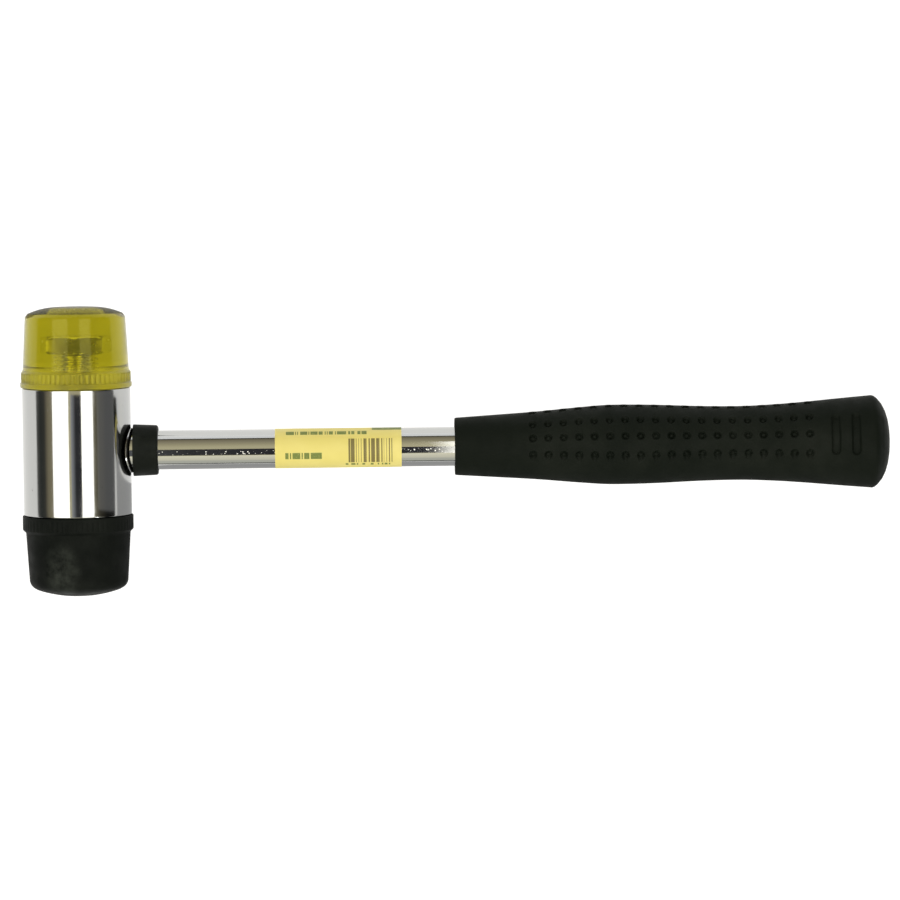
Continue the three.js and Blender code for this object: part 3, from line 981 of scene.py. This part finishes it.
def painted_shade_card(name, low, high, radiance):
    """A dim card lying on the floor between two corners, seen only in the shiny surfaces over it: painted
    shade of the floor next to the mallet.
    """
    mesh = bpy.data.meshes.new(name)
    corners = ((low[0], low[1]), (high[0], low[1]), (high[0], high[1]), (low[0], high[1]))
    mesh.from_pydata([(x, y, 0.0) for x, y in corners], [], [(0, 1, 2, 3)])
    material, shader = new_material(name)
    shader.inputs["Base Color"].default_value = (0.02, 0.02, 0.02, 1)
    shader.inputs["Roughness"].default_value = 1.0
    shader.inputs["Emission Color"].default_value = (1, 1, 1, 1)
    shader.inputs["Emission Strength"].default_value = radiance
    card = stand_card(name, mesh, material, (0, 0, 0.0001))
    card.visible_transmission = False


def world():
    """A dim room round the table: dark walls and a warmer ceiling, darker towards the butt."""
    made = bpy.data.worlds.new("room")
    made.use_nodes = True
    tree = made.node_tree
    tree.nodes.clear()
    output = tree.nodes.new("ShaderNodeOutputWorld")
    background = tree.nodes.new("ShaderNodeBackground")
    place = tree.nodes.new("ShaderNodeTexCoord")
    split = tree.nodes.new("ShaderNodeSeparateXYZ")
    ramp = tree.nodes.new("ShaderNodeValToRGB")
    shade = tree.nodes.new("ShaderNodeMapRange")
    tree.links.new(place.outputs["Generated"], split.inputs[0])
    tree.links.new(split.outputs["Z"], ramp.inputs[0])
    tree.links.new(split.outputs["X"], shade.inputs["Value"])
    for name, number in (("From Min", 0.55), ("From Max", 0.8), ("To Min", 1.0), ("To Max", 0.12)):
        shade.inputs[name].default_value = number
    tree.links.new(ramp.outputs[0], background.inputs["Color"])
    tree.links.new(shade.outputs[0], background.inputs["Strength"])
    tree.links.new(background.outputs[0], output.inputs[0])
    stops = ((0.0, (0.30, 0.30, 0.29, 1)), (0.05, (0.12, 0.12, 0.11, 1)), (0.18, (0.05, 0.055, 0.05, 1)),
             (0.36, (0.07, 0.07, 0.06, 1)), (0.50, (0.33, 0.29, 0.19, 1)), (0.7, (0.47, 0.42, 0.28, 1)),
             (0.85, (0.62, 0.56, 0.35, 1)), (0.96, (0.80, 0.73, 0.46, 1)))
    ramp.color_ramp.elements.remove(ramp.color_ramp.elements[1])
    for i, (where, colour) in enumerate(stops):
        stop = ramp.color_ramp.elements[0] if i == 0 else ramp.color_ramp.elements.new(where)
        stop.position, stop.color = where, colour
    bpy.context.scene.world = made


BOX_HEIGHT = 0.62
BOX_RADIANCE = 2.7


def lights():
    """Two softboxes over the head, pale walls round the table and one small lamp."""
    head_x = LAID.translation.x
    for name, aside, width in (("left_box", -0.40, 0.53), ("right_box", 0.315, 0.34)):
        x = head_x + aside
        softbox(name, (x, 0.0, BOX_HEIGHT), (x, 0, 0), (width, 0.8), BOX_RADIANCE)
    softbox("near_wall", (0, -1.0, 0.62), (0, 0, 0), (2.4, 1.1), 0.72, (1.0, 1.0, 0.86))
    softbox("far_wall", (0, 1.3, 0.235), (0, 0, 0.1), (2.4, 0.47), 1.2)
    softbox("right_wall", (1.5, 0, 0.28), (0, 0, 0.28), (0.5, 2.4), 0.17)
    softbox("key", (0.75, -0.75, 0.8), (0, 0, 0), (0.12, 0.12), 40.0)


CAMERA_DISTANCE = 1.5
CAMERA_TILT = math.radians(4.0)
CAMERA_ROLL = math.radians(0.62)
CAMERA_LENS = 185.4
CAMERA_TARGET = Vector((0.12068, -0.00101, 0))


def camera():
    """Looks down on the middle of the mallet, tilted and rolled a little, as in the photo."""
    data = bpy.data.cameras.new("camera")
    data.sensor_width = 36
    data.lens = CAMERA_LENS
    made = bpy.data.objects.new("camera", data)
    target = LAID @ CAMERA_TARGET
    target.z = LAID.translation.z
    back = Vector((0, math.sin(CAMERA_TILT), math.cos(CAMERA_TILT)))
    up = Matrix.Rotation(-CAMERA_ROLL, 3, "Z") @ Vector((0, 1, 0))
    right = up.cross(back).normalized()
    up = back.cross(right)
    turn = Matrix((right, up, back)).transposed().to_4x4()
    made.matrix_world = Matrix.Translation(target + back * CAMERA_DISTANCE) @ turn
    bpy.context.scene.collection.objects.link(made)
    bpy.context.scene.camera = made


floor()
dark_card()
# Painted shade: dim cards beside the tube and behind the crown, where the floor lies in shade.
painted_shade_card("tube_shade_card", (-0.102, -0.35), (0.16, -0.012), 0.5)
painted_shade_card("crown_shade_card", (-0.165, 0.047), (-0.101, 0.30), 0.28)
world()
lights()
camera()
bpy.context.scene.view_settings.view_transform = "Standard"
